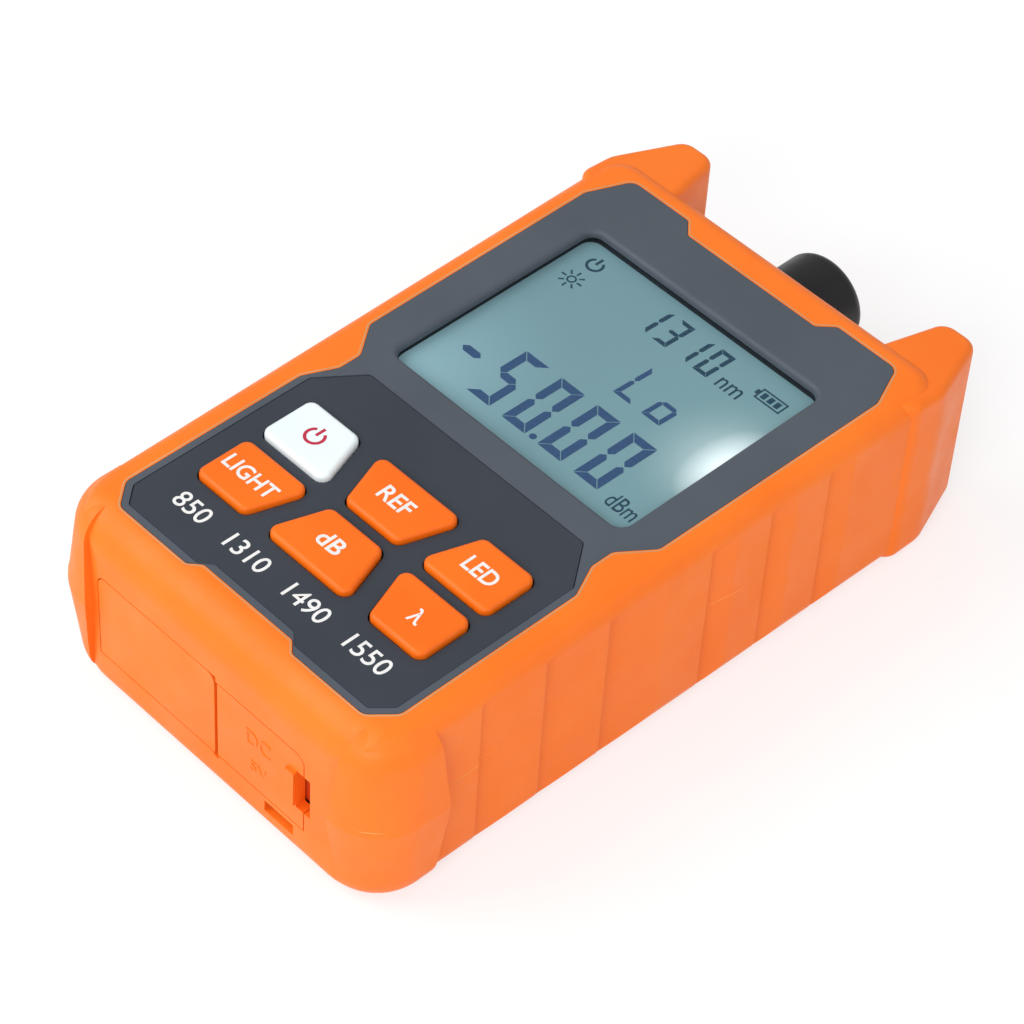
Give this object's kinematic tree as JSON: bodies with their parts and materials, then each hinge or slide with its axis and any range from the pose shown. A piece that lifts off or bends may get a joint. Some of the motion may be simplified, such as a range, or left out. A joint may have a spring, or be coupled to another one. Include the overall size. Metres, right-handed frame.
{
  "type": "optical power meter",
  "caption": "Pocket fibre optical power meter: grey case with display and six keys in a moulded orange rubber sleeve, capped port at one end.",
  "frame": {"origin": "middle of the meter's length and width, on the surface its back lies on", "axes": "+Y from the key end towards the optical port, +X to the right with the keys towards the reader, +Z out of the display"},
  "size_m": [0.0656, 0.1182, 0.0319],
  "materials": {
    "sleeve_rubber": "satin",
    "case_plastic": "matte",
    "window_clear": "gloss",
    "display_glass": "gloss",
    "lamp_white": "satin",
    "panel_film": "satin",
    "key_white": "satin",
    "key_orange": "satin",
    "switch_black": "matte",
    "board_green": "satin",
    "socket_steel": "satin",
    "battery_wrap": "gloss",
    "screw_steel": "satin",
    "port_steel": "polished",
    "detector_can": "satin",
    "cap_rubber": "matte",
    "torch_lens": "gloss"
  },
  "bodies": {
    "case": {"sleeve": "sleeve_rubber", "front_shell": "case_plastic", "back_shell": "case_plastic", "display_window": "window_clear", "lcd_panel": "display_glass", "backlight": "lamp_white", "keypad_panel": "panel_film", "key_switches": "switch_black", "main_board": "board_green", "charge_board": "board_green", "usb_socket": "socket_steel", "battery": "battery_wrap", "case_screws": "screw_steel", "board_screws": "screw_steel", "port_body": "port_steel", "port_nut": "port_steel", "photodiode": "detector_can", "torch_led": "torch_lens"},
    "power_key": {"power_key": "key_white"},
    "ref_key": {"ref_key": "key_orange"},
    "led_key": {"led_key": "key_orange"},
    "light_key": {"light_key": "key_orange"},
    "db_key": {"db_key": "key_orange"},
    "wavelength_key": {"wavelength_key": "key_orange"},
    "usb_flap": {"usb_flap": "sleeve_rubber"},
    "blank_flap": {"blank_flap": "sleeve_rubber"},
    "dust_cap": {"dust_cap": "cap_rubber"}
  },
  "joints": [
    {"name": "power_key_press", "type": "slide", "parent": "case", "child": "power_key", "axis": [0, 0, -1], "range_m": [0, 0.0006], "stiffness_N_per_m": 400},
    {"name": "ref_key_press", "type": "slide", "parent": "case", "child": "ref_key", "axis": [0, 0, -1], "range_m": [0, 0.0006], "stiffness_N_per_m": 400},
    {"name": "led_key_press", "type": "slide", "parent": "case", "child": "led_key", "axis": [0, 0, -1], "range_m": [0, 0.0006], "stiffness_N_per_m": 400},
    {"name": "light_key_press", "type": "slide", "parent": "case", "child": "light_key", "axis": [0, 0, -1], "range_m": [0, 0.0006], "stiffness_N_per_m": 400},
    {"name": "db_key_press", "type": "slide", "parent": "case", "child": "db_key", "axis": [0, 0, -1], "range_m": [0, 0.0006], "stiffness_N_per_m": 400},
    {"name": "wavelength_key_press", "type": "slide", "parent": "case", "child": "wavelength_key", "axis": [0, 0, -1], "range_m": [0, 0.0006], "stiffness_N_per_m": 400},
    {"name": "usb_flap_hinge", "type": "hinge", "parent": "case", "child": "usb_flap", "pos_m": [0.0094, -0.0576, 0.007], "axis": [1, 0, 0], "range_deg": [0, 100], "stiffness_Nm_per_rad": 0.002},
    {"name": "blank_flap_hinge", "type": "hinge", "parent": "case", "child": "blank_flap", "pos_m": [-0.0109, -0.0576, 0.007], "axis": [1, 0, 0], "range_deg": [0, 100], "stiffness_Nm_per_rad": 0.002},
    {"name": "dust_cap_pull", "type": "slide", "parent": "case", "child": "dust_cap", "axis": [0, 1, 0], "range_m": [0, 0.03]}
  ]
}
